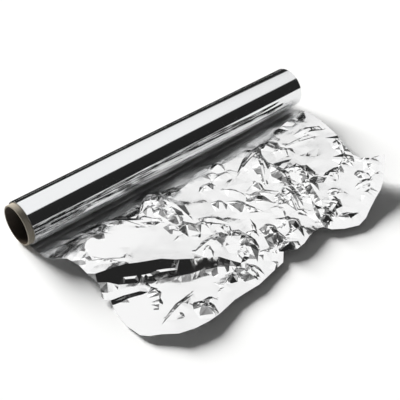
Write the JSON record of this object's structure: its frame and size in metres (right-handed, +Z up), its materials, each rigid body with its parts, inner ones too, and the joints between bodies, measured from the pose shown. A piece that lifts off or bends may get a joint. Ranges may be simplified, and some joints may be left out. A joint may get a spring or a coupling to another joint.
{
  "type": "aluminium foil roll",
  "caption": "Household aluminium foil wound on a cardboard core, lying down with its free end pulled out from under the roll as a crumpled sheet.",
  "frame": {"origin": "on the core's axis, half way along the foil's width", "axes": "+X along the core away from the end where the core stands out, +Z up from the surface the roll lies on, the loose sheet out towards -Y"},
  "size_m": [0.305, 0.187, 0.038],
  "materials": {
    "foil": "bright on the outside of the roll, satin on the crumpled side",
    "core": "plain grey-brown board"
  },
  "bodies": {
    "root": {"foil": "foil", "core_tube": "core"}
  },
  "joints": []
}
